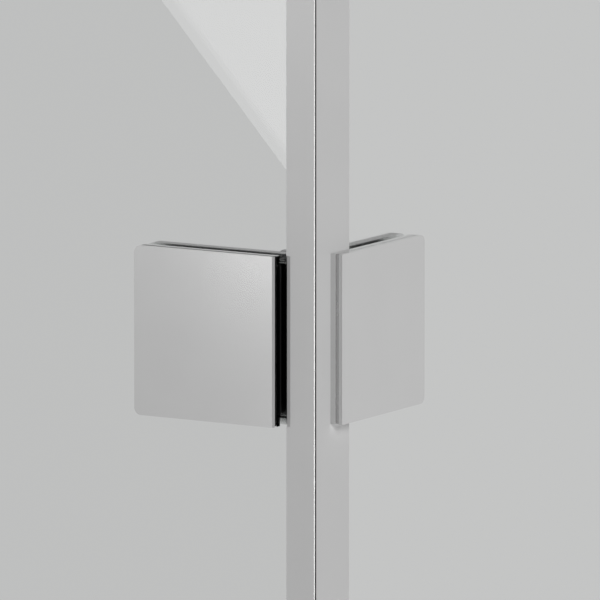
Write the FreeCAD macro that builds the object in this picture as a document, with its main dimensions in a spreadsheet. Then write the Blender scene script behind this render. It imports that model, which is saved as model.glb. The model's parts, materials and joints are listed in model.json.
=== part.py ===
import FreeCAD, Part
import Sketcher
import os
import re

# A corner bath screen: a fixed glass panel runs from the wall to the corner, and a glass door
# hangs on it at 90 degrees by two plate hinges and folds inwards over the bath.
# Frame: +Z up, the wall is the plane Y = 0 and the fixed panel's mid-plane is X = 0.
# The origin is the centre of the wall channel's screw holes, on its back face.

doc = FreeCAD.newDocument("corner_bath_screen")
sheet = doc.addObject("Spreadsheet::Sheet", "Sizes")

# Driving dimensions in millimetres
sizes = {
    "screen_height": 1400,
    "fixed_width": 800,
    "door_width": 600,
    "glass_thickness": 4,
    "glass_arris": 0.4,
    "plate_length": 60.5,
    "plate_height": 64,
    "plate_corner": 2.8,
    "plate_setback": 18.7,
    "cover_thickness": 1.4,
    "cover_slant": 0.4,
    "spacer_thickness": 1.4,
    "groove_depth": 1.3,
    "clamp_thickness": 2.2,
    "leaf_thickness": 5,
    "leaf_bevel": 0.4,
    "pad_thickness": 1,
    "pad_inset": 3,
    "pad_corner": 2.2,
    "notch_depth": 12.5,
    "notch_corner": 5,
    "core_setback": 5.5,
    "pocket_depth": 0.8,
    "pocket_lip": 0.5,
    "clamp_screw_setback": 36.5,
    "clamp_screw_spacing": 30,
    "clamp_screw_radius": 2,
    "clamp_head_radius": 3.5,
    "clamp_head_sink": 1,
    "clamp_screw_end_skin": 1,
    "glass_hole_radius": 6,
    "hinge_end_distance": 200,
    "pin_offset": 7.5,
    "pin_radius": 3,
    "pin_fit": 0.05,
    "knuckle_radius": 6.5,
    "door_knuckle_height": 20,
    "bush_wall": 1.5,
    "bush_flange": 1,
    "pin_head_radius": 5,
    "pin_head_height": 2,
    "pin_end_inset": 2,
    "profile_wall": 1,
    "flange_thickness": 0.5,
    "flange_bevel_width": 0.16,
    "flange_bevel_depth": 0.34,
    "fixed_profile_start": 8.45,
    "fixed_profile_width": 23.75,
    "door_flange_start": 3.8,
    "door_profile_end": 15.9,
    "door_profile_web": 12.3,
    "relief_width": 1.7,
    "relief_depth": 0.5,
    "cap_thickness": 1.6,
    "seal_edge": 0.1,
    "seal_wall": 1,
    "seal_height": 16,
    "fixed_glass_lift": 6,
    "door_glass_lift": 12,
    "drip_fin": 6,
    "channel_depth": 30,
    "channel_width": 14,
    "channel_wall": 1.4,
    "slide_setback": 8.6,
    "slide_reach": 36,
    "gasket_depth": 18,
    "wall_hole_spacing": 360,
    "wall_hole_count": 4,
    "wall_hole_radius": 2.5,
    "adjuster_spacing": 520,
    "adjuster_count": 3,
    "adjuster_radius": 2,
    "adjuster_head_radius": 3.5,
    "adjuster_head_height": 2,
    "adjuster_inset": 12,
    "adjuster_cap_wall": 1,
    "slip": 0.1,
    "clearance": 0.3,
}

# Places and layers that follow from them. Across each hinge, depth is measured inwards from
# the outer face of its cover; along it, from the plane of the other hinge half's cover.
derived = {
    "rim": "0 - screen_height / 2",
    "top": "screen_height / 2",
    "clamp_outer": "cover_thickness + spacer_thickness",
    "clamp_inner": "clamp_outer + clamp_thickness",
    "glass_outer": "clamp_inner + pad_thickness",
    "glass_inner": "glass_outer + glass_thickness",
    "leaf_outer": "glass_inner + pad_thickness",
    "leaf_inner": "leaf_outer + leaf_thickness",
    "near_end": "plate_setback",
    "far_end": "plate_setback + plate_length",
    "pin_place": "leaf_inner + pin_offset",
    "corner_x": "glass_outer + glass_thickness / 2",
    "corner_y": "0 - fixed_width - corner_x",
    "pin_x": "corner_x - pin_place",
    "pin_y": "corner_y + pin_place",
    "screw_place": "plate_setback + clamp_screw_setback",
    "notch_end": "plate_setback + notch_depth",
    "profile_outer": "glass_outer - profile_wall",
    "profile_inner": "glass_inner + profile_wall",
    "flange_inner": "profile_outer + flange_thickness",
    "fixed_profile_end": "fixed_profile_start + fixed_profile_width",
    "fixed_glass_start": "fixed_profile_start + profile_wall + clearance",
    "door_glass_start": "door_profile_web + profile_wall + clearance",
    "door_end": "door_width + corner_x",
    "wall_place": "0 - corner_y",
    "slide_place": "wall_place - slide_setback - channel_wall",
    "slide_end": "wall_place - slide_reach",
    "fixed_glass_end": "slide_place - clearance",
    "channel_half": "channel_width / 2",
    "slide_half": "channel_half - channel_wall - slip",
    "gasket_half": "slide_half - channel_wall",
    "fixed_bottom": "rim + fixed_glass_lift",
    "door_bottom": "rim + door_glass_lift",
    "bush_radius": "pin_radius + pin_fit + bush_wall",
    "door_knuckle_half": "door_knuckle_height / 2",
    "fixed_knuckle_half": "door_knuckle_half + bush_flange + clearance",
    "barrel_half": "plate_height / 2 - pin_head_height - pin_end_inset",
    "adjuster_place": "wall_place - channel_depth + adjuster_inset",
}

for row, (alias, size) in enumerate(sizes.items(), 1):
    sheet.set(f"A{row}", alias.replace("_", " "))
    sheet.set(f"B{row}", str(size))
    sheet.setAlias(f"B{row}", alias)
doc.recompute()

nodes = []


def formula(text):
    def word(match):
        name = match.group(0)
        if name in derived:
            return "(" + formula(derived[name]) + ")"
        return "Sizes." + name
    return re.sub(r"[a-z_]+", word, str(text))


def value(text):
    return float(sheet.evalExpression(formula(text)))


def across(side, along, depth):
    # A place beside a hinge half, as the frame's x and y
    if side == "door":
        return f"corner_x - ({along})", f"corner_y + ({depth})"
    return f"corner_x - ({depth})", f"corner_y + ({along})"


def span(low, high):
    return f"({high}) - ({low})"


def put(obj, x, y, z):
    for axis, place in zip("xyz", (x, y, z)):
        obj.setExpression("Placement.Base." + axis, formula(place))


def node(obj, label):
    obj.Label = label
    nodes.append(obj)
    return obj


def outline(body, name, points, level):
    # A closed sketch whose corners are all bound to the sheet
    plane = [f for f in body.Origin.OriginFeatures if f.Role == "XY_Plane"][0]
    sketch = body.newObject("Sketcher::SketchObject", name)
    sketch.AttachmentSupport = [(plane, "")]
    sketch.MapMode = "FlatFace"
    sketch.setExpression("AttachmentOffset.Base.z", formula(level))
    corners = [FreeCAD.Vector(value(x), value(y), 0) for x, y in points]
    count = len(points)
    for i in range(count):
        sketch.addGeometry(Part.LineSegment(corners[i], corners[(i + 1) % count]), False)
    for i in range(count):
        sketch.addConstraint(Sketcher.Constraint("Coincident", i, 2, (i + 1) % count, 1))
    for i, (x, y) in enumerate(points):
        for kind, place, size in (("DistanceX", x, corners[i].x), ("DistanceY", y, corners[i].y)):
            index = sketch.addConstraint(Sketcher.Constraint(kind, -1, 1, i, 1, size))
            sketch.setExpression(f"Constraints[{index}]", formula(place))
    return sketch


def pad(body, name, points, low, high):
    feature = body.newObject("PartDesign::Pad", name)
    feature.Profile = outline(body, name + "_sketch", points, low)
    feature.setExpression("Length", formula(span(low, high)))
    doc.recompute()
    return feature


def section(name, points, low, high):
    # An upright extrusion of an outline given in the frame's x and y
    body = doc.addObject("PartDesign::Body", name)
    pad(body, name + "_pad", points, low, high)
    return body


def rectangle(side, along, depth):
    corners = ((0, 0), (1, 0), (1, 1), (0, 1))
    return [across(side, along[i], depth[j]) for i, j in corners]


def edge_names(feature, wanted):
    return [f"Edge{i}" for i, edge in enumerate(feature.Shape.Edges, 1) if wanted(edge)]


def rounded(body, side, ends, radius):
    # Rounds the upright outline's corners at the given places along the plate
    axis = "x" if side == "door" else "y"
    places = [value(across(side, end, "0")[0 if side == "door" else 1]) for end in ends]

    def wanted(edge):
        spots = [getattr(v.Point, axis) for v in edge.Vertexes]
        level = abs(edge.Vertexes[0].Z - edge.Vertexes[-1].Z) < 1e-6
        return level and any(all(abs(s - p) < 1e-6 for s in spots) for p in places)

    base = body.Tip
    fillet = body.newObject("PartDesign::Fillet", body.Name + "_corners")
    fillet.Base = (base, edge_names(base, wanted))
    fillet.setExpression("Radius", formula(radius))
    doc.recompute()
    return fillet


def beveled(body, side, depth, size):
    # Bevels every edge of the face that lies at the given depth
    axis = "y" if side == "door" else "x"
    place = value(across(side, "0", depth)[1 if side == "door" else 0])

    def wanted(edge):
        middle = edge.valueAt((edge.FirstParameter + edge.LastParameter) / 2)
        spots = [getattr(p, axis) for p in [v.Point for v in edge.Vertexes] + [middle]]
        return all(abs(s - place) < 1e-6 for s in spots)

    base = body.Tip
    chamfer = body.newObject("PartDesign::Chamfer", body.Name + "_bevel")
    chamfer.Base = (base, edge_names(base, wanted))
    chamfer.setExpression("Size", formula(size))
    doc.recompute()
    return chamfer


def block(name, side, along, depth, level):
    box = doc.addObject("Part::Box", name)
    x0, y0 = across(side, along[0], depth[0])
    x1, y1 = across(side, along[1], depth[1])
    box.setExpression("Length", formula(span(x1, x0)))
    box.setExpression("Width", formula(span(y0, y1)))
    box.setExpression("Height", formula(span(*level)))
    put(box, x1, y0, level[0])
    return box


def rod(name, side, along, depth, level, radius):
    # A round bar through a hinge half, from its outer face inwards
    turn = (FreeCAD.Vector(1, 0, 0), -90) if side == "door" else (FreeCAD.Vector(0, 1, 0), -90)
    bar = doc.addObject("Part::Cylinder", name)
    bar.Placement = FreeCAD.Placement(FreeCAD.Vector(), FreeCAD.Rotation(*turn))
    bar.setExpression("Radius", formula(radius))
    bar.setExpression("Height", formula(span(*depth)))
    x, y = across(side, along, depth[0])
    put(bar, x, y, level)
    return bar


def post(name, level, radius):
    # A round bar on the hinge axis
    bar = doc.addObject("Part::Cylinder", name)
    bar.setExpression("Radius", formula(radius))
    bar.setExpression("Height", formula(span(*level)))
    put(bar, "pin_x", "pin_y", level[0])
    return bar


def fuse(name, shapes):
    joined = doc.addObject("Part::MultiFuse", name)
    joined.Shapes = shapes
    joined.Refine = True
    return joined


def cut(name, base, tools):
    result = doc.addObject("Part::Cut", name)
    result.Base = base
    result.Tool = tools[0] if len(tools) == 1 else fuse(name + "_tools", tools)
    return result


def group(name, shapes):
    bundle = doc.addObject("Part::Compound", name)
    bundle.Links = shapes
    return bundle


sides = ("fixed", "door")
hinges = {"lower": "rim + hinge_end_distance", "upper": "top - hinge_end_distance"}


def screw_levels(level):
    return [f"{level} {sign} clamp_screw_spacing / 2" for sign in "-+"]


def screw_rods(name, side, depth, level, radius):
    levels = screw_levels(level)
    return [rod(f"{name}_{i}", side, "screw_place", depth, z, radius) for i, z in enumerate(levels)]


def plate_level(level, inset="0"):
    half = f"(plate_height / 2 - ({inset}))"
    return f"{level} - {half}", f"{level} + {half}"


def make_cover(name, side, level):
    # The end of the door's cover slants back from the corner, the fixed one's is square
    front_end = "near_end + cover_slant" if side == "door" else "near_end"
    points = [(front_end, "0"), ("far_end", "0"), ("far_end", "cover_thickness"),
              ("near_end", "cover_thickness")]
    body = section(name + "_plate", [across(side, a, d) for a, d in points], *plate_level(level))
    rounded(body, side, ["far_end"], "plate_corner")
    node(body, name)


def make_spacer(name, side, level):
    # Set in from the near end, so that a shadow groove shows there
    depth = ("cover_thickness", "clamp_outer")
    along = ("near_end + groove_depth", "far_end")
    body = section(name + "_sheet", rectangle(side, along, depth), *plate_level(level))
    rounded(body, side, ["far_end"], "plate_corner")
    recesses = screw_rods(name + "_recess", side, depth, level, "clamp_head_radius + clearance")
    node(cut(name + "_cut", body, recesses), name)


def make_clamp(name, side, level):
    outline_points = rectangle(side, ("near_end", "far_end"), ("clamp_outer", "clamp_inner"))
    body = section(name + "_plate", outline_points, *plate_level(level))
    rounded(body, side, ["far_end"], "plate_corner")
    holes = screw_rods(name + "_hole", side, ("clamp_outer", "clamp_inner"), level,
                       "clamp_screw_radius + slip")
    sinks = screw_rods(name + "_sink", side, ("clamp_outer", "clamp_outer + clamp_head_sink"), level,
                       "clamp_head_radius + slip")
    node(cut(name + "_cut", body, holes + sinks), name)


def make_pads(name, side, level):
    # The outer pad of the door half reaches the plate's near end, the inner one the glass's notch
    past_profile = "fixed_profile_end + clearance"
    starts = ("near_end", "notch_end + clearance") if side == "door" else (past_profile, past_profile)
    layers = {"outer": ("clamp_inner", "glass_outer"), "inner": ("glass_inner", "leaf_outer")}
    pads = []
    for start, (layer, depth) in zip(starts, layers.items()):
        body = section(f"{name}_{layer}", rectangle(side, (start, "far_end - pad_inset"), depth),
                       *plate_level(level, "pad_inset"))
        rounded(body, side, [start, "far_end - pad_inset"], "pad_corner")
        holes = screw_rods(f"{name}_{layer}_hole", side, depth, level, "clamp_screw_radius + slip")
        pads.append(cut(f"{name}_{layer}_cut", body, holes))
    node(group(name + "_pair", pads), name)


def make_sleeves(name, side, level):
    depth = ("glass_outer", "glass_inner")
    outer = screw_rods(name + "_outer", side, depth, level, "glass_hole_radius - slip")
    bores = screw_rods(name + "_bore", side, depth, level, "clamp_screw_radius + slip")
    tubes = [cut(f"{name}_tube_{i}", outer[i], [bores[i]]) for i in range(len(outer))]
    node(group(name + "_pair", tubes), name)


def make_screws(name, side, level):
    under_head = "clamp_outer + clamp_head_sink"
    heads = screw_rods(name + "_head", side, ("cover_thickness + slip", under_head), level,
                       "clamp_head_radius")
    shanks = screw_rods(name + "_shank", side, (under_head, "leaf_inner - clamp_screw_end_skin"), level,
                        "clamp_screw_radius")
    screws = [fuse(f"{name}_{i}_whole", [heads[i], shanks[i]]) for i in range(len(heads))]
    node(group(name + "_pair", screws), name)


def make_core(name, level):
    # The block that fills the inner part of the notch in the door's glass
    along = ("near_end + core_setback", "notch_end - clearance")
    body = section(name + "_block", rectangle("door", along, ("glass_outer", "leaf_outer")),
                   *plate_level(level, "pad_inset + clearance"))
    rounded(body, "door", [along[1]], "notch_corner")
    node(body, name)


def make_pocket(name, level):
    # A shallow recess in the door leaf, in line with the notch in the glass
    along = ("near_end + pocket_lip", "notch_end")
    depth = ("leaf_outer", "leaf_outer + pocket_depth")
    body = section(name, rectangle("door", along, depth), *plate_level(level, "pad_inset"))
    rounded(body, "door", along, "pad_corner")
    return body


def make_leaf(name, side, level):
    outline_points = rectangle(side, ("near_end", "far_end"), ("leaf_outer", "leaf_inner"))
    body = section(name + "_plate", outline_points, *plate_level(level))
    rounded(body, side, ["far_end"], "plate_corner")
    beveled(body, side, "leaf_inner", "leaf_bevel")
    if side == "door":
        knuckles = [(f"{level} - door_knuckle_half", f"{level} + door_knuckle_half")]
        bore = "bush_radius + pin_fit"
    else:
        knuckles = [(f"{level} - barrel_half", f"{level} - fixed_knuckle_half"),
                    (f"{level} + fixed_knuckle_half", f"{level} + barrel_half")]
        bore = "pin_radius + pin_fit"
    solids = [body]
    for i, knuckle in enumerate(knuckles):
        lug_along = ("near_end + leaf_bevel", "pin_place + knuckle_radius")
        lug_depth = ("leaf_inner - leaf_bevel", "pin_place")
        solids.append(block(f"{name}_lug_{i}", side, lug_along, lug_depth, knuckle))
        solids.append(post(f"{name}_barrel_{i}", knuckle, "knuckle_radius"))
    hollows = [post(name + "_bore", plate_level(level), bore)]
    if side == "door":
        hollows.append(make_pocket(name + "_pocket", level))
    threads = screw_rods(name + "_thread", side, ("leaf_outer", "leaf_inner - clamp_screw_end_skin"), level,
                         "clamp_screw_radius + pin_fit")
    node(cut(name + "_cut", fuse(name + "_solid", solids), hollows + threads), name)


def make_axle(hinge, level):
    top_face = f"{level} + barrel_half"
    low_face = f"{level} - barrel_half"
    shaft = post(hinge + "_pin_shaft", (f"{low_face} - pin_head_height", top_face), "pin_radius")
    head = post(hinge + "_pin_head", (top_face, f"{top_face} + pin_head_height"), "pin_head_radius")
    node(fuse(hinge + "_pin_whole", [shaft, head]), hinge + "_pin")
    nut_level = (f"{low_face} - pin_head_height", low_face)
    nut = post(hinge + "_nut_disc", nut_level, "pin_head_radius")
    thread = post(hinge + "_nut_thread", nut_level, "pin_radius + pin_fit")
    node(cut(hinge + "_nut_cut", nut, [thread]), hinge + "_pin_nut")
    bushes = []
    for i, sign in enumerate("-+"):
        inner = f"{level} {sign} clearance"
        shoulder = f"{level} {sign} door_knuckle_half"
        outer = f"{shoulder} {sign} bush_flange"
        upward = 1 if sign == "+" else -1
        tube = post(f"{hinge}_bush_tube_{i}", (inner, shoulder)[::upward], "bush_radius")
        flange_level = (shoulder, outer)[::upward]
        rim_disc = post(f"{hinge}_bush_flange_{i}", flange_level, "knuckle_radius - leaf_bevel")
        bore = post(f"{hinge}_bush_bore_{i}", plate_level(level), "pin_radius + pin_fit")
        bushes.append(cut(f"{hinge}_bush_{i}", fuse(f"{hinge}_bush_solid_{i}", [tube, rim_disc]), [bore]))
    node(group(hinge + "_bush_pair", bushes), hinge + "_bushes")


for hinge, level in hinges.items():
    for side in sides:
        make_cover(f"{hinge}_{side}_cover", side, level)
        make_spacer(f"{hinge}_{side}_spacer", side, level)
        make_clamp(f"{hinge}_{side}_clamp", side, level)
        make_pads(f"{hinge}_{side}_pads", side, level)
        make_sleeves(f"{hinge}_{side}_sleeves", side, level)
        make_screws(f"{hinge}_{side}_screws", side, level)
        make_leaf(f"{hinge}_{side}_leaf", side, level)
    make_core(f"{hinge}_door_core", level)
    make_axle(hinge, level)


def make_notch(name, level):
    # The opening in the door glass's edge that each hinge sits in
    along = ("door_glass_start - clearance", "notch_end")
    body = section(name, rectangle("door", along, ("glass_outer", "glass_inner")),
                   *plate_level(level, "pad_inset"))
    rounded(body, "door", ["notch_end"], "notch_corner")
    return body


def make_glass(side, along, level):
    name = side + "_glass"
    depth = ("glass_outer", "glass_inner")
    pane = section(name + "_pane", rectangle(side, along, depth), *level)
    for face in depth:
        beveled(pane, side, face, "glass_arris")
    holes = []
    for hinge, height in hinges.items():
        holes += screw_rods(f"{name}_{hinge}_hole", side, depth, height, "glass_hole_radius")
        if side == "door":
            holes.append(make_notch(f"{name}_{hinge}_notch", height))
    node(cut(name + "_cut", pane, holes), name)


make_glass("fixed", ("fixed_glass_start", "fixed_glass_end"), ("fixed_bottom", "top"))
make_glass("door", ("door_glass_start", "door_end"), ("door_bottom", "top"))


def make_edge_profile(side, points, cap_along, low):
    # An edge profile between its two end caps
    name = side + "_edge"
    ends = (f"{low} + cap_thickness", "top - cap_thickness")
    profile = section(name + "_profile_body", [across(side, a, d) for a, d in points], *ends)
    doc.recompute()
    depth = ("profile_outer", "profile_inner")
    caps = [block(f"{name}_cap_low", side, cap_along, depth, (low, ends[0])),
            block(f"{name}_cap_high", side, cap_along, depth, (ends[1], "top"))]
    node(group(name + "_cap_pair", caps), name + "_caps")
    return profile


fixed_points = [
    ("fixed_profile_start", "profile_outer"), ("fixed_profile_end", "profile_outer"),
    ("fixed_profile_end", "glass_outer"), ("fixed_profile_start + profile_wall", "glass_outer"),
    ("fixed_profile_start + profile_wall", "glass_inner"), ("fixed_profile_end", "glass_inner"),
    ("fixed_profile_end", "profile_inner"), ("fixed_profile_start", "profile_inner"),
]
door_points = [
    ("door_flange_start", "profile_outer + flange_bevel_depth"),
    ("door_flange_start + flange_bevel_width", "profile_outer"), ("door_profile_end", "profile_outer"),
    ("door_profile_end", "glass_outer"), ("door_profile_web + profile_wall", "glass_outer"),
    ("door_profile_web + profile_wall", "glass_inner"), ("door_profile_end", "glass_inner"),
    ("door_profile_end", "profile_inner"), ("door_profile_web", "profile_inner"),
    ("door_profile_web", "flange_inner"), ("door_flange_start", "flange_inner"),
]
fixed_cap_along = ("fixed_profile_start", "fixed_glass_start - clearance")
fixed_profile = make_edge_profile("fixed", fixed_points, fixed_cap_along, "rim")
node(fixed_profile, "fixed_edge_profile")
door_cap_along = ("door_profile_web", "door_glass_start - clearance")
door_profile = make_edge_profile("door", door_points, door_cap_along, "door_bottom")
relief_points = [
    ("door_profile_end - relief_width", "profile_outer"), ("door_profile_end", "profile_outer"),
    ("door_profile_end", "profile_outer + relief_depth"),
]
# The flange's edge slopes back beside each hinge
reliefs = [section(f"door_relief_{hinge}", [across("door", a, d) for a, d in relief_points],
                   *plate_level(level))
           for hinge, level in hinges.items()]
node(cut("door_profile_cut", door_profile, reliefs), "door_edge_profile")

# The bulb that fills the corner, carried by the fixed profile's web
node(block("corner_bulb", "fixed", ("glass_outer + clearance", "fixed_profile_start"),
           ("profile_outer + seal_edge", "profile_inner - seal_edge"), ("rim", "top")), "corner_seal")


def make_bottom_seal(side, along, level, glass_level):
    # A channel that grips the glass's lower edge
    name = side + "_bottom"
    skin = block(name + "_skin", side, along, ("glass_outer - seal_wall", "glass_inner + seal_wall"), level)
    slot = block(name + "_slot", side, along, ("glass_outer", "glass_inner"), (glass_level, level[1]))
    return cut(name + "_channel", skin, [slot])


node(make_bottom_seal("fixed", ("fixed_profile_end + clearance", "slide_end - clearance"),
                      ("rim", "rim + seal_height"), "fixed_bottom"), "fixed_bottom_seal")
drip_along = ("door_profile_end + clearance", "door_end")
drip_channel = make_bottom_seal("door", drip_along, ("door_bottom - drip_fin", "door_bottom + seal_height"),
                                "door_bottom")
drip_fin = block("door_drip_fin", "door", drip_along, ("glass_inner", "glass_inner + seal_wall"),
                 ("rim + clearance", "door_bottom - drip_fin"))
node(fuse("door_drip_whole", [drip_channel, drip_fin]), "door_drip_seal")


def channel_points(half, back, reach):
    # A channel open towards the corner, its back at the given distance from the wall
    inner = f"{half} - channel_wall"
    web = f"0 - ({back}) - channel_wall"
    return [(f"0 - ({half})", f"0 - ({back})"), (half, f"0 - ({back})"), (half, f"0 - ({reach})"),
            (inner, f"0 - ({reach})"), (inner, web), (f"0 - ({inner})", web),
            (f"0 - ({inner})", f"0 - ({reach})"), (f"0 - ({half})", f"0 - ({reach})")]


def spread(count, spacing):
    number = int(value(count))
    return [f"({i} - ({count} - 1) / 2) * {spacing}" for i in range(number)]


def wall_rod(name, y, level, radius):
    # A round bar square to the wall, from the wall's face towards the corner
    return rod(name, "door", "corner_x", y, level, radius)


channel_outline = channel_points("channel_half", "0", "channel_depth")
slide_outline = channel_points("slide_half", "slide_setback", "slide_reach")
channel = section("wall_channel_body", channel_outline, "rim", "top")
slide = section("slide_channel_body", slide_outline, "rim", "top")
web = ("wall_place - channel_wall", "wall_place")
wall_holes = [wall_rod(f"wall_hole_{i}", web, level, "wall_hole_radius")
              for i, level in enumerate(spread("wall_hole_count", "wall_hole_spacing"))]
adjuster_levels = spread("adjuster_count", "adjuster_spacing")
channel_face = "corner_x + channel_half"
screw_end = "corner_x + gasket_half + slip"


def adjuster_rods(name, depth, radius):
    return [rod(f"{name}_{i}", "fixed", "adjuster_place", depth, level, radius)
            for i, level in enumerate(adjuster_levels)]


adjuster_holes = adjuster_rods("adjuster_hole", ("corner_x + gasket_half", channel_face),
                               "adjuster_radius + slip")
node(cut("wall_channel_cut", channel, wall_holes + adjuster_holes), "wall_channel")
node(cut("slide_channel_cut", slide, adjuster_holes), "slide_channel")
head_face = f"{channel_face} + adjuster_head_height"
shanks = adjuster_rods("adjuster_shank", (screw_end, channel_face), "adjuster_radius")
heads = adjuster_rods("adjuster_head", (channel_face, head_face), "adjuster_head_radius")
screws = [fuse(f"adjuster_{i}", [shanks[i], heads[i]]) for i in range(len(heads))]
node(group("adjuster_set", screws), "adjuster_screws")
shells = adjuster_rods("adjuster_shell", (channel_face, f"{head_face} + adjuster_cap_wall"),
                       "adjuster_head_radius + slip + adjuster_cap_wall")
hollows = adjuster_rods("adjuster_hollow", (channel_face, head_face), "adjuster_head_radius + slip")
caps = [cut(f"adjuster_cap_{i}", shells[i], [hollows[i]]) for i in range(len(shells))]
node(group("adjuster_cap_set", caps), "adjuster_caps")

gaskets = []
gasket_along = ("slide_end", "slide_end + gasket_depth")
gasket_layers = (("corner_x - gasket_half", "glass_outer"), ("glass_inner", "corner_x + gasket_half"))
for i, depth in enumerate(gasket_layers):
    gaskets.append(block(f"slide_gasket_{i}", "fixed", gasket_along, depth, ("fixed_bottom", "top")))
node(group("slide_gasket_pair", gaskets), "slide_gaskets")
node(block("channel_lid", "fixed", ("slide_end", "wall_place"),
           ("corner_x - channel_half", "corner_x + channel_half"), ("top", "top + cap_thickness")),
     "channel_cap")

doc.recompute()
for obj in doc.Objects:
    if "Invalid" in obj.State or "Error" in obj.State:
        raise RuntimeError(f"{obj.Name} failed: {obj.State}")
for obj in nodes:
    if obj.Shape.isNull() or not obj.Shape.isValid() or not obj.Shape.Solids:
        raise RuntimeError(f"{obj.Label} has no valid solid")

os.makedirs("parts", exist_ok=True)
for obj in nodes:
    obj.Shape.exportStep(f"parts/{obj.Label}.step")
print(len(nodes), "sub-parts written")
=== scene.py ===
import bpy
import json
import math
from mathutils import Matrix, Vector


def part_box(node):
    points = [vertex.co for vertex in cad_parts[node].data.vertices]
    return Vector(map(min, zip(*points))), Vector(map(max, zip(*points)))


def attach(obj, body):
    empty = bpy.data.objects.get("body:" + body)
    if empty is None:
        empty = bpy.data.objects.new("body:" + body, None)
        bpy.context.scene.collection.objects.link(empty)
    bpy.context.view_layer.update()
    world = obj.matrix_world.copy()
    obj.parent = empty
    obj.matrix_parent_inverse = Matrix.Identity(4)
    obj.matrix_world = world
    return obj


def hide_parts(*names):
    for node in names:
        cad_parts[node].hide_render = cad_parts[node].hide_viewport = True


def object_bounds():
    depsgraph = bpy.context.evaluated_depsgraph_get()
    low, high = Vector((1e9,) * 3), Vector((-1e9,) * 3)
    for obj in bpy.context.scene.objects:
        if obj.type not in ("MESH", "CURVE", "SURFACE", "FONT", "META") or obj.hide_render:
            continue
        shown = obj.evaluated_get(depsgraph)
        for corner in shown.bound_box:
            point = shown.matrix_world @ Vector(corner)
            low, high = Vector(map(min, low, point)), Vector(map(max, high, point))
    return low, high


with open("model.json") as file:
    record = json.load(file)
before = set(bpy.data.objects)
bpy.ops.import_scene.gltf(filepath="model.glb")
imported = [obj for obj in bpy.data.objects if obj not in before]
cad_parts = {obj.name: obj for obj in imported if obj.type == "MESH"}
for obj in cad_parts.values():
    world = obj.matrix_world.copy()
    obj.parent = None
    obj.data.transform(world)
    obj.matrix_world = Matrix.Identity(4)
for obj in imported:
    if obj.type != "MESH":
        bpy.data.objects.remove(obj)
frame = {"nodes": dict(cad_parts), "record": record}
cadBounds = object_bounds()
parts = frame["nodes"]
print("frame loaded:", len(parts), "parts")

mm = 0.001
hinges = ("lower", "upper")
scene = bpy.context.scene
scene.view_settings.view_transform = "Standard"


def linearGrey(level):
    # a grey of the photo's 0 to 255 scale as scene light
    share = level / 255
    return share / 12.92 if share <= 0.04045 else ((share + 0.055) / 1.055) ** 2.4


# Camera: long lens on the upper hinge
view = {
    "azimuth": 31,           # degrees from the door's face towards the fixed panel's face
    "elevation": 8.7,
    "distance": 4.222,
    "pixelsPerMetre": 2700,  # scale at the hinge, in a 600 pixel picture
    "pictureSize": 600,
    "sensor": 36,
    "clipEnd": 100,
    "cornerX": 272.9,        # where the door cover's near corner falls in the picture
    "cornerY": 342.7,        # and the middle of its height
}


def viewAxes():
    turn = math.radians(view["azimuth"])
    rise = math.radians(view["elevation"])
    right = Vector((math.cos(turn), math.sin(turn), 0))
    level = Vector((-math.sin(turn), math.cos(turn), 0))
    forward = level * math.cos(rise) - Vector((0, 0, math.sin(rise)))
    return right, forward, right.cross(forward)


viewRight, viewForward, viewUp = viewAxes()


def coverCorner():
    low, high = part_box("upper_door_cover")
    return Vector((high.x, low.y, (low.z + high.z) / 2))


def cameraPlace():
    half = view["pictureSize"] / 2
    across = (half - view["cornerX"]) / view["pixelsPerMetre"]
    rise = (view["cornerY"] - half) / view["pixelsPerMetre"]
    target = coverCorner() + viewRight * across + viewUp * rise
    return target - viewForward * view["distance"]


def addCamera():
    data = bpy.data.cameras.new("camera")
    data.sensor_width = view["sensor"]
    data.lens = view["sensor"] * view["distance"] * view["pixelsPerMetre"] / view["pictureSize"]
    data.clip_end = view["clipEnd"]
    camera = bpy.data.objects.new("camera", data)
    camera.location = cameraPlace()
    camera.rotation_euler = viewForward.to_track_quat("-Z", "Y").to_euler()
    scene.collection.objects.link(camera)
    scene.camera = camera


addCamera()
print("camera set")

# Shared surface effects


def newGroup(name, inputs, outputs):
    group = bpy.data.node_groups.new(name, "ShaderNodeTree")
    for label, default in inputs.items():
        socket = group.interface.new_socket(label, in_out="INPUT", socket_type="NodeSocketFloat")
        socket.default_value = default
    for label, kind in outputs.items():
        group.interface.new_socket(label, in_out="OUTPUT", socket_type=kind)
    return group, group.nodes.new("NodeGroupInput"), group.nodes.new("NodeGroupOutput")


def link(tree, source, target):
    tree.links.new(source, target)


def calculate(tree, operation, first, second):
    node = tree.nodes.new("ShaderNodeMath")
    node.operation = operation
    for socket, item in zip(node.inputs, (first, second)):
        if isinstance(item, (int, float)):
            socket.default_value = item
        else:
            link(tree, item, socket)
    return node.outputs[0]


def along(tree, source, direction):
    node = tree.nodes.new("ShaderNodeVectorMath")
    node.operation = "DOT_PRODUCT"
    node.inputs[1].default_value = direction
    link(tree, source, node.inputs[0])
    return node.outputs["Value"]


satinLook = {"lineDetail": 3, "cloudScale": 35, "cloudDetail": 2, "depth": 0.05 * mm}


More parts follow.
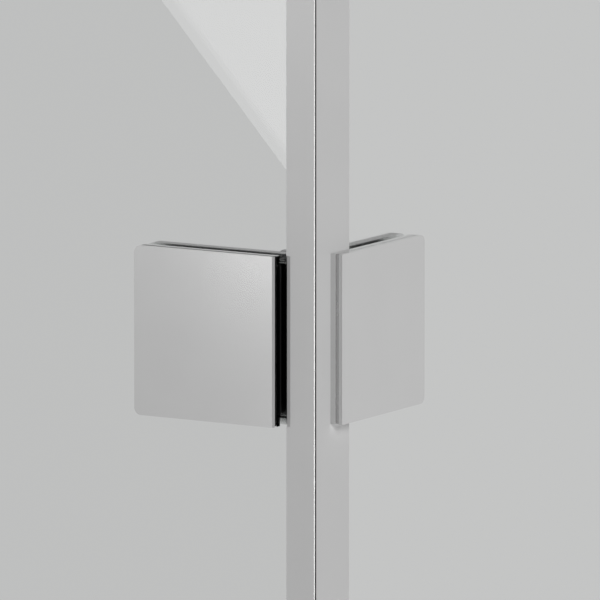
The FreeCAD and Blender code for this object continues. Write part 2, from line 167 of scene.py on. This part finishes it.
def buildSatinGrain():
    # fine upright brush lines over a slow change of polish
    inputs = {"Line density": 2400, "Line length": 60, "Roughness": 0.3, "Spread": 0.05, "Relief": 0.02}
    outputs = {"Roughness": "NodeSocketFloat", "Normal": "NodeSocketVector", "Shade": "NodeSocketFloat"}
    group, given, out = newGroup("satinGrain", inputs, outputs)
    place = group.nodes.new("ShaderNodeTexCoord")
    stretch = group.nodes.new("ShaderNodeCombineXYZ")
    link(group, given.outputs["Line density"], stretch.inputs[0])
    link(group, given.outputs["Line density"], stretch.inputs[1])
    link(group, given.outputs["Line length"], stretch.inputs[2])
    scaled = group.nodes.new("ShaderNodeVectorMath")
    scaled.operation = "MULTIPLY"
    link(group, place.outputs["Object"], scaled.inputs[0])
    link(group, stretch.outputs[0], scaled.inputs[1])
    lines = group.nodes.new("ShaderNodeTexNoise")
    lines.inputs["Scale"].default_value = 1  # the stretch already scales it
    lines.inputs["Detail"].default_value = satinLook["lineDetail"]
    link(group, scaled.outputs[0], lines.inputs["Vector"])
    clouds = group.nodes.new("ShaderNodeTexNoise")
    clouds.inputs["Scale"].default_value = satinLook["cloudScale"]
    clouds.inputs["Detail"].default_value = satinLook["cloudDetail"]
    link(group, place.outputs["Object"], clouds.inputs["Vector"])
    both = calculate(group, "ADD", lines.outputs[0], clouds.outputs[0])
    centred = calculate(group, "SUBTRACT", both, 1)  # each noise lies about 0.5
    swing = calculate(group, "MULTIPLY", centred, given.outputs["Spread"])
    rough = calculate(group, "ADD", swing, given.outputs["Roughness"])
    bump = group.nodes.new("ShaderNodeBump")
    bump.inputs["Distance"].default_value = satinLook["depth"]
    link(group, given.outputs["Relief"], bump.inputs["Strength"])
    link(group, lines.outputs[0], bump.inputs["Height"])
    link(group, rough, out.inputs["Roughness"])
    link(group, bump.outputs[0], out.inputs["Normal"])
    link(group, clouds.outputs[0], out.inputs["Shade"])
    return group


mouldLook = {"detail": 4, "depth": 0.1 * mm}


def buildMouldGrain():
    # the fine pitted skin of moulded rubber and plastic
    inputs = {"Grain size": 1800, "Roughness": 0.5, "Spread": 0.15, "Relief": 0.1}
    outputs = {"Roughness": "NodeSocketFloat", "Normal": "NodeSocketVector", "Shade": "NodeSocketFloat"}
    group, given, out = newGroup("mouldGrain", inputs, outputs)
    place = group.nodes.new("ShaderNodeTexCoord")
    grain = group.nodes.new("ShaderNodeTexNoise")
    grain.inputs["Detail"].default_value = mouldLook["detail"]
    link(group, place.outputs["Object"], grain.inputs["Vector"])
    link(group, given.outputs["Grain size"], grain.inputs["Scale"])
    centred = calculate(group, "SUBTRACT", grain.outputs[0], 0.5)  # the noise lies about 0.5
    swing = calculate(group, "MULTIPLY", centred, given.outputs["Spread"])
    rough = calculate(group, "ADD", swing, given.outputs["Roughness"])
    bump = group.nodes.new("ShaderNodeBump")
    bump.inputs["Distance"].default_value = mouldLook["depth"]
    link(group, given.outputs["Relief"], bump.inputs["Strength"])
    link(group, grain.outputs[0], bump.inputs["Height"])
    link(group, rough, out.inputs["Roughness"])
    link(group, bump.outputs[0], out.inputs["Normal"])
    link(group, grain.outputs[0], out.inputs["Shade"])
    return group


satinGrain = buildSatinGrain()
mouldGrain = buildMouldGrain()


def newMaterial(name):
    material = bpy.data.materials.new(name)
    material.use_nodes = True
    tree = material.node_tree
    return material, tree, tree.nodes["Principled BSDF"]


def plainGrey(amount):
    return (amount, amount, amount, 1)


def mixColours(tree, share):
    # the Mix node's two colour inputs and its colour output
    node = tree.nodes.new("ShaderNodeMix")
    node.data_type = "RGBA"
    link(tree, share, node.inputs[0])
    return node.inputs[6], node.inputs[7], node.outputs[2]


def addEffect(tree, surface, group, values, tones):
    effect = tree.nodes.new("ShaderNodeGroup")
    effect.node_tree = group
    for label, amount in values.items():
        effect.inputs[label].default_value = amount
    first, second, mixed = mixColours(tree, effect.outputs["Shade"])
    first.default_value = (*tones[0], 1)
    second.default_value = (*tones[1], 1)
    link(tree, mixed, surface.inputs["Base Color"])
    link(tree, effect.outputs["Roughness"], surface.inputs["Roughness"])
    link(tree, effect.outputs["Normal"], surface.inputs["Normal"])


def metalMaterial(name, tones, values, metallic=1):
    material, tree, surface = newMaterial(name)
    surface.inputs["Metallic"].default_value = metallic
    addEffect(tree, surface, satinGrain, values, tones)
    return material


def mouldedMaterial(name, tones, values, transmission=0, ior=1.5, sheen=0.5):
    material, tree, surface = newMaterial(name)
    surface.inputs["Specular IOR Level"].default_value = sheen
    surface.inputs["Transmission Weight"].default_value = transmission
    surface.inputs["IOR"].default_value = ior
    addEffect(tree, surface, mouldGrain, values, tones)
    return material


glassLook = {"tint": (0.975, 0.985, 0.98), "ior": 1.5, "shadow": 0.92}


def glassMaterial():
    # clear glass that lets lamp light through to what stands behind it
    material, tree, surface = newMaterial("clearGlass")
    surface.inputs["Base Color"].default_value = (*glassLook["tint"], 1)
    surface.inputs["Roughness"].default_value = 0
    surface.inputs["IOR"].default_value = glassLook["ior"]
    surface.inputs["Transmission Weight"].default_value = 1
    paths = tree.nodes.new("ShaderNodeLightPath")
    clear = tree.nodes.new("ShaderNodeBsdfTransparent")
    clear.inputs[0].default_value = plainGrey(glassLook["shadow"])
    mix = tree.nodes.new("ShaderNodeMixShader")
    link(tree, paths.outputs["Is Shadow Ray"], mix.inputs[0])
    link(tree, surface.outputs[0], mix.inputs[1])
    link(tree, clear.outputs[0], mix.inputs[2])
    link(tree, mix.outputs[0], tree.nodes["Material Output"].inputs["Surface"])
    return material


# painted shade on the door clamp's end: a near black skin in place of the dark slot its chrome would mirror
paintedShadeEnd = {"node": "upper_door_clamp", "skin": 0.1 * mm, "tone": 0.004}


def paintedShadeEndMaterial():
    # the chrome of the other plates, with painted shade: the end that faces the profile is painted near
    # black, standing in for the dark slot that the chrome would mirror there
    material = finishes["satin_chrome"].copy()
    material.name = "blackEndChrome"
    tree = material.node_tree
    surface = tree.nodes["Principled BSDF"]
    place = tree.nodes.new("ShaderNodeTexCoord").outputs["Object"]
    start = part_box(paintedShadeEnd["node"])[1].x - paintedShadeEnd["skin"]
    paintedShadeMask = calculate(tree, "GREATER_THAN", along(tree, place, (1, 0, 0)), start)
    chrome, black, mixed = mixColours(tree, paintedShadeMask)
    link(tree, surface.inputs["Base Color"].links[0].from_socket, chrome)
    black.default_value = plainGrey(paintedShadeEnd["tone"])
    link(tree, mixed, surface.inputs["Base Color"])
    return material


finishes = {
    "clear_glass": glassMaterial(),
    "satin_chrome": metalMaterial("satinChrome", ((0.73, 0.73, 0.73), (0.77, 0.77, 0.77)),
                                  {"Roughness": 0.18, "Spread": 0.03, "Relief": 0.02}),
    "satin_aluminium": metalMaterial("satinAluminium", ((0.472, 0.472, 0.472), (0.502, 0.502, 0.502)),
                                     {"Roughness": 0.36, "Spread": 0.04, "Relief": 0.03, "Line length": 15},
                                     metallic=0.2),
    "steel": metalMaterial("stainlessSteel", ((0.55, 0.55, 0.55), (0.65, 0.65, 0.65)),
                           {"Roughness": 0.25, "Spread": 0.1, "Relief": 0.04, "Line density": 1500}),
    "black_rubber": mouldedMaterial("blackRubber", ((0.004, 0.004, 0.004), (0.008, 0.008, 0.008)),
                                    {"Roughness": 0.5, "Relief": 0.1}, sheen=0.2),
    "black_plastic": mouldedMaterial("blackPlastic", ((0.003, 0.003, 0.003), (0.005, 0.005, 0.005)),
                                     {"Roughness": 0.35, "Relief": 0.05}, sheen=0.2),
    "clear_seal": mouldedMaterial("clearSeal", ((0.82, 0.85, 0.85), (0.9, 0.92, 0.92)),
                                  {"Roughness": 0.3, "Relief": 0.05, "Grain size": 700}, transmission=0.85,
                                  ior=1.4),
    "nylon": mouldedMaterial("whiteNylon", ((0.72, 0.72, 0.69), (0.8, 0.8, 0.77)), {"Roughness": 0.5}),
    "grey_plastic": mouldedMaterial("greyPlastic", ((0.36, 0.36, 0.36), (0.42, 0.42, 0.42)),
                                    {"Roughness": 0.45}),
}


def dressParts():
    slots = {row["node"]: row["material_slot"] for row in frame["record"]["subparts"]}
    # the door clamps take the chrome with the painted shade on their end
    doorClamp = paintedShadeEndMaterial()
    for name, part in parts.items():
        finish = doorClamp if name.endswith("door_clamp") else finishes[slots[name]]
        part.data.materials.clear()
        part.data.materials.append(finish)


dressParts()
print("finishes on", len(parts), "parts")

# Domed caps in rows: over the adjuster screws, and on both ends of the hinge pins
dome = {"segments": 48, "arcSteps": 8, "edgeRound": 0.6, "skin": 0.8 * mm, "sharpAngle": 40}
pinCap = {"height": 1.4 * mm, "inset": 0.3 * mm}
adjusterCount = 3


def domeOutline(radius, height, hollow):
    # radius and height of each ring, from the underside's middle over the rim to the crown's middle
    bend = dome["edgeRound"] * height
    turns = [math.pi / 2 * step / dome["arcSteps"] for step in range(dome["arcSteps"] + 1)]
    arc = [(radius - bend + bend * math.cos(t), height - bend + bend * math.sin(t)) for t in turns]
    inner, ceiling = radius - dome["skin"], height - dome["skin"]
    underside = [(0, ceiling), (inner, ceiling), (inner, 0)] if hollow else [(0, 0)]
    return underside + [(radius, 0)] + arc + [(0, height)]


def domeMesh(name, outline, axis):
    # the outline turned about the axis
    across = axis.orthogonal().normalized()
    turned = axis.cross(across)
    count = dome["segments"]
    spots, rings = [], []
    for radius, height in outline:
        angles = [math.tau * step / count for step in range(count if radius else 1)]
        rings.append(range(len(spots), len(spots) + len(angles)))
        spots += [axis * height + (across * math.cos(a) + turned * math.sin(a)) * radius for a in angles]
    faces = []
    for low, high in zip(rings, rings[1:]):
        for here in range(count):
            after = (here + 1) % count
            corners = [ring[step % len(ring)] for ring, step in
                       ((low, here), (low, after), (high, after), (high, here))]
            faces.append(list(dict.fromkeys(corners)))  # a triangle where a ring is one point
    mesh = bpy.data.meshes.new(name)
    mesh.from_pydata(spots, [], faces)
    mesh.shade_smooth()
    mesh.set_sharp_from_angle(angle=math.radians(dome["sharpAngle"]))
    return mesh


def buildRowTree():
    tree = bpy.data.node_groups.new("row", "GeometryNodeTree")
    inputs = {"Piece": "NodeSocketObject", "Count": "NodeSocketInt", "Start": "NodeSocketVector",
              "Step": "NodeSocketVector", "Finish": "NodeSocketMaterial"}
    for label, kind in inputs.items():
        tree.interface.new_socket(label, in_out="INPUT", socket_type=kind)
    tree.interface.new_socket("Geometry", in_out="OUTPUT", socket_type="NodeSocketGeometry")
    given = tree.nodes.new("NodeGroupInput")
    out = tree.nodes.new("NodeGroupOutput")
    row = tree.nodes.new("GeometryNodeMeshLine")
    link(tree, given.outputs["Count"], row.inputs["Count"])
    link(tree, given.outputs["Start"], row.inputs["Start Location"])
    link(tree, given.outputs["Step"], row.inputs["Offset"])
    source = tree.nodes.new("GeometryNodeObjectInfo")
    link(tree, given.outputs["Piece"], source.inputs["Object"])
    placed = tree.nodes.new("GeometryNodeInstanceOnPoints")
    link(tree, row.outputs["Mesh"], placed.inputs["Points"])
    link(tree, source.outputs["Geometry"], placed.inputs["Instance"])
    real = tree.nodes.new("GeometryNodeRealizeInstances")
    link(tree, placed.outputs["Instances"], real.inputs["Geometry"])
    dressed = tree.nodes.new("GeometryNodeSetMaterial")
    link(tree, real.outputs["Geometry"], dressed.inputs["Geometry"])
    link(tree, given.outputs["Finish"], dressed.inputs["Material"])
    link(tree, dressed.outputs["Geometry"], out.inputs["Geometry"])
    return tree


rowTree = buildRowTree()


def addRow(name, piece, finish, count, start, step):
    # a row of copies of one mesh, made into one plain mesh that rides on the fixed body
    source = bpy.data.objects.new(name + "Source", piece)
    maker = bpy.data.objects.new(name + "Maker", bpy.data.meshes.new(name + "Maker"))
    for holder in (source, maker):
        scene.collection.objects.link(holder)
    modifier = maker.modifiers.new("row", "NODES")
    modifier.node_group = rowTree
    values = {"Piece": source, "Count": count, "Start": start, "Step": step, "Finish": finishes[finish]}
    for item in rowTree.interface.items_tree:
        if item.name in values:
            modifier[item.identifier] = values[item.name]
    ready = maker.evaluated_get(bpy.context.evaluated_depsgraph_get())
    mesh = bpy.data.meshes.new_from_object(ready)
    mesh.name = name
    for holder in (source, maker):
        bpy.data.objects.remove(holder)
    row = bpy.data.objects.new(name, mesh)
    scene.collection.objects.link(row)
    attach(row, "fixed_panel")
    return row


def addAdjusterDomes():
    low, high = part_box("adjuster_caps")
    radius = (high.y - low.y) / 2
    piece = domeMesh("adjusterDome", domeOutline(radius, high.x - low.x, hollow=True), Vector((-1, 0, 0)))
    spacing = (high.z - low.z - 2 * radius) / (adjusterCount - 1)
    start = (high.x, low.y + radius, low.z + radius)
    row = addRow("adjusterDomes", piece, "grey_plastic", adjusterCount, start, (0, 0, spacing))
    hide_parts("adjuster_caps")


def addPinCaps():
    # crowns that rise from the top of the pins and hang from the underside of their nuts
    for name, node, face, rise in (("pinCrowns", "pin", 1, 1), ("nutCrowns", "pin_nut", 0, -1)):
        lower, upper = [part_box(hinge + "_" + node) for hinge in hinges]
        middle = (lower[0] + lower[1]) / 2
        radius = (lower[1].x - lower[0].x) / 2 - pinCap["inset"]
        piece = domeMesh(name, domeOutline(radius, pinCap["height"], hollow=False), Vector((0, 0, rise)))
        start = (middle.x, middle.y, lower[face].z)
        addRow(name, piece, "steel", len(hinges), start, (0, 0, upper[face].z - lower[face].z))


addAdjusterDomes()
addPinCaps()
print("caps added")

# Light and surroundings
studio = {
    "backdrop": (192.5, 196.5),       # grey of the backdrop to the left and right of the view's middle
    "backdropTurn": (-0.001, 0.004),  # slopes between which the one changes to the other
    "mirrored": (196, 212),           # grey that metal and glass mirror, on the door and on the fixed panel
    "ceiling": (-0.05, 0.3),          # slopes between which what they mirror darkens towards the top
    "ceilingDrop": 0.7,               # and by how much
    "fill": 0.35,                     # soft light on matt surfaces
    "floorDrop": 2 * mm,
    "floorSize": 5.0,
    "floorFade": (1.3, 2.4),          # the floor thins out to the backdrop between these distances
    "floorGrey": 0.62,
    "floorRoughness": 0.8,
}
lamps = {
    "frontLamp": {"place": (2.6, -2.9, 2.2), "size": 1.6, "power": 141},
    "backLamp": {"place": (-2.6, 0.9, 2.2), "size": 1.6, "power": 30},
}


def mapRange(tree, source, spread, result, smooth=False):
    node = tree.nodes.new("ShaderNodeMapRange")
    node.interpolation_type = "SMOOTHSTEP" if smooth else "LINEAR"
    for label, amount in zip(("From Min", "From Max", "To Min", "To Max"), (*spread, *result)):
        node.inputs[label].default_value = amount
    link(tree, source, node.inputs["Value"])
    return node.outputs[0]


def addWorld():
    world = bpy.data.worlds.new("studio")
    scene.world = world
    world.use_nodes = True
    tree = world.node_tree
    back = tree.nodes["Background"]
    paths = tree.nodes.new("ShaderNodeLightPath")
    aim = tree.nodes.new("ShaderNodeTexCoord").outputs["Generated"]
    greys = [linearGrey(grey) for grey in studio["backdrop"]]
    backdrop = mapRange(tree, along(tree, aim, viewRight), studio["backdropTurn"], greys, smooth=True)
    greys = [linearGrey(grey) for grey in studio["mirrored"]]
    sideways = (viewRight.y, viewRight.x, 0)  # from what the door mirrors to what the fixed panel does
    mirrored = mapRange(tree, along(tree, aim, sideways), (-1, 1), greys)
    darkened = (1, 1 - studio["ceilingDrop"])
    shade = mapRange(tree, along(tree, aim, (0, 0, 1)), studio["ceiling"], darkened, smooth=True)
    mirrored = calculate(tree, "MULTIPLY", mirrored, shade)
    shown = calculate(tree, "MAXIMUM", paths.outputs["Is Camera Ray"], paths.outputs["Is Transmission Ray"])
    glossy = calculate(tree, "MAXIMUM", calculate(tree, "SUBTRACT", paths.outputs["Is Glossy Ray"], shown), 0)
    soft = calculate(tree, "SUBTRACT", calculate(tree, "SUBTRACT", 1, shown), glossy)
    total = calculate(tree, "MULTIPLY", shown, backdrop)
    total = calculate(tree, "ADD", total, calculate(tree, "MULTIPLY", glossy, mirrored))
    total = calculate(tree, "ADD", total, calculate(tree, "MULTIPLY", soft, studio["fill"]))
    link(tree, total, back.inputs["Strength"])
    back.inputs["Color"].default_value = (1, 1, 1, 1)


def addFloor():
    low, high = Vector(cadBounds[0]), Vector(cadBounds[1])
    centre = (low + high) / 2
    half = studio["floorSize"] / 2
    level = low.z - studio["floorDrop"]
    corners = [(centre.x + sx * half, centre.y + sy * half, level)
               for sx, sy in ((-1, -1), (1, -1), (1, 1), (-1, 1))]
    mesh = bpy.data.meshes.new("floor")
    mesh.from_pydata(corners, [], [(0, 1, 2, 3)])
    floor = bpy.data.objects.new("floor", mesh)
    scene.collection.objects.link(floor)
    material, tree, surface = newMaterial("paleFloor")
    surface.inputs["Base Color"].default_value = plainGrey(studio["floorGrey"])
    surface.inputs["Roughness"].default_value = studio["floorRoughness"]
    place = tree.nodes.new("ShaderNodeTexCoord")
    away = tree.nodes.new("ShaderNodeVectorMath")
    away.operation = "DISTANCE"
    away.inputs[1].default_value = (centre.x, centre.y, level)
    link(tree, place.outputs["Object"], away.inputs[0])
    fade = mapRange(tree, away.outputs["Value"], studio["floorFade"], (1, 0), smooth=True)
    link(tree, fade, surface.inputs["Alpha"])
    mesh.materials.append(material)


def addLamps():
    for name, lamp in lamps.items():
        data = bpy.data.lights.new(name, "AREA")
        data.shape = "DISK"
        data.size = lamp["size"]
        data.energy = lamp["power"]
        holder = bpy.data.objects.new(name, data)
        holder.location = lamp["place"]
        aim = coverCorner() - Vector(lamp["place"])
        holder.rotation_euler = aim.to_track_quat("-Z", "Y").to_euler()
        holder.visible_glossy = False
        scene.collection.objects.link(holder)


# Soft boxes that shine only on glossy surfaces. Each stands where the door mirrors it in the picture, with
# its middle and size in the picture's pixels: three stepped ones make the slanted glare, two the plate's
# sheen and one the pale top of the profile. Those that overlap differ in reach, because lamps at one
# distance hide each other.
glareShape = {"size": (240, 112), "turn": -53.7, "spread": 40}
doorBoxes = {
    "glareBox": {"reach": 0.7, "middle": (263.8, 44.8), "light": 2.15, **glareShape},
    "rearGlareBox": {"reach": 0.73, "middle": (271, 39.5), "light": 0.7, **glareShape},
    "softGlareBox": {"reach": 0.76, "middle": (274.6, 36.8), "light": 0.7, **glareShape},
    "sheenBox": {"reach": 0.8, "middle": (301, 235), "light": 5.2, "size": (24, 80), "turn": 0, "spread": 40},
    "sideBox": {"reach": 0.8, "middle": (335, 380), "light": 0.6, "size": (40, 200), "turn": 0, "spread": 40},
    "topBox": {"reach": 0.4, "middle": (300, -260), "light": 1.2, "size": (800, 480), "turn": 0,
               "spread": 180, "lights": "door_edge_profile"},
}
# and one more that the bevelled edge of the door's profile mirrors
edgeBox = {"bevelTurn": 64.8, "reach": 2.0, "light": 34, "size": 0.28, "spread": 40,
           "lights": "door_edge_profile"}
# and faint ones on each fixed plate's end, head and foot, which keep the profile beside them as pale as
# elsewhere: those marked matt shine on matt surfaces too
plateBoxes = {
    "EndBox": {"light": 0.36, "matt": False},
    "HeadBox": {"light": 0.24, "matt": True},
    "FootBox": {"light": 1.0, "matt": True},
}
plateLight = {"gap": 0.2 * mm, "spread": 180, "lights": "fixed_edge_profile"}


def addBox(name, place, wide, back, size, spread, light, lights=None, matt=False):
    # a lamp of even brightness that shines along minus back, on the part that lights names or else on all
    data = bpy.data.lights.new(name, "AREA")
    data.shape = "RECTANGLE"
    data.size, data.size_y = size
    data.spread = math.radians(spread)
    half = data.spread / 2
    narrowing = 1 - half / math.tan(half)  # keeps the brightness the same at any spread
    data.energy = light * math.pi * size[0] * size[1] * narrowing
    holder = bpy.data.objects.new(name, data)
    holder.matrix_world = Matrix((wide, back.cross(wide), back)).transposed().to_4x4()
    holder.location = place
    holder.visible_camera = False
    holder.visible_diffuse = matt
    holder.visible_transmission = False
    scene.collection.objects.link(holder)
    if lights:
        lit = bpy.data.collections.new(name + "Lights")
        lit.objects.link(parts[lights])
        holder.light_linking.receiver_collection = lit


def inMirror(vector):
    # a direction as the door's face mirrors it
    return Vector((vector.x, -vector.y, vector.z))


def addDoorBoxes():
    camera = cameraPlace()
    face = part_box("door_glass")[0].y
    behind = Vector((camera.x, 2 * face - camera.y, camera.z))  # the camera's own place in the mirror
    half = view["pictureSize"] / 2
    for name, box in doorBoxes.items():
        away = view["distance"] + box["reach"]
        metresPerPixel = away / view["distance"] / view["pixelsPerMetre"]
        across, rise = box["middle"][0] - half, half - box["middle"][1]
        spot = viewForward * away + (viewRight * across + viewUp * rise) * metresPerPixel
        turn = math.radians(box["turn"])
        wide = inMirror(viewRight * math.cos(turn) + viewUp * math.sin(turn))
        size = [side * metresPerPixel for side in box["size"]]
        addBox(name, behind + inMirror(spot), wide, inMirror(viewForward), size, box["spread"], box["light"],
               box.get("lights"))


def addEdgeBox():
    turn = math.radians(edgeBox["bevelTurn"])
    away = viewForward.reflect(Vector((math.sin(turn), -math.cos(turn), 0)))
    wide = away.cross(Vector((0, 0, 1))).normalized()
    size = [edgeBox["size"]] * 2
    place = coverCorner() + away * edgeBox["reach"]
    addBox("edgeBox", place, wide, away, size, edgeBox["spread"], edgeBox["light"], edgeBox["lights"])


def addPlateBoxes():
    gap = plateLight["gap"]
    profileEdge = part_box("fixed_edge_profile")[1].y
    for hinge in hinges:
        low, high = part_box(hinge + "_fixed_clamp")[0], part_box(hinge + "_fixed_cover")[1]
        middle = (low + high) / 2
        thick, tall, over = high.x - low.x, high.z - low.z, profileEdge - low.y
        onProfile = low.y + over / 2
        faces = {
            "EndBox": (Vector((middle.x, low.y - gap, middle.z)), Vector((0, 1, 0)), (thick, tall)),
            "HeadBox": (Vector((middle.x, onProfile, high.z + gap)), Vector((0, 0, -1)), (thick, over)),
            "FootBox": (Vector((middle.x, onProfile, low.z - gap)), Vector((0, 0, 1)), (thick, over)),
        }
        for name, (place, back, size) in faces.items():
            box = plateBoxes[name]
            addBox(hinge + name, place, Vector((1, 0, 0)), back, size, plateLight["spread"], box["light"],
                   plateLight["lights"], box["matt"])


addWorld()
addFloor()
addLamps()
addDoorBoxes()
addEdgeBox()
addPlateBoxes()
print("studio set")
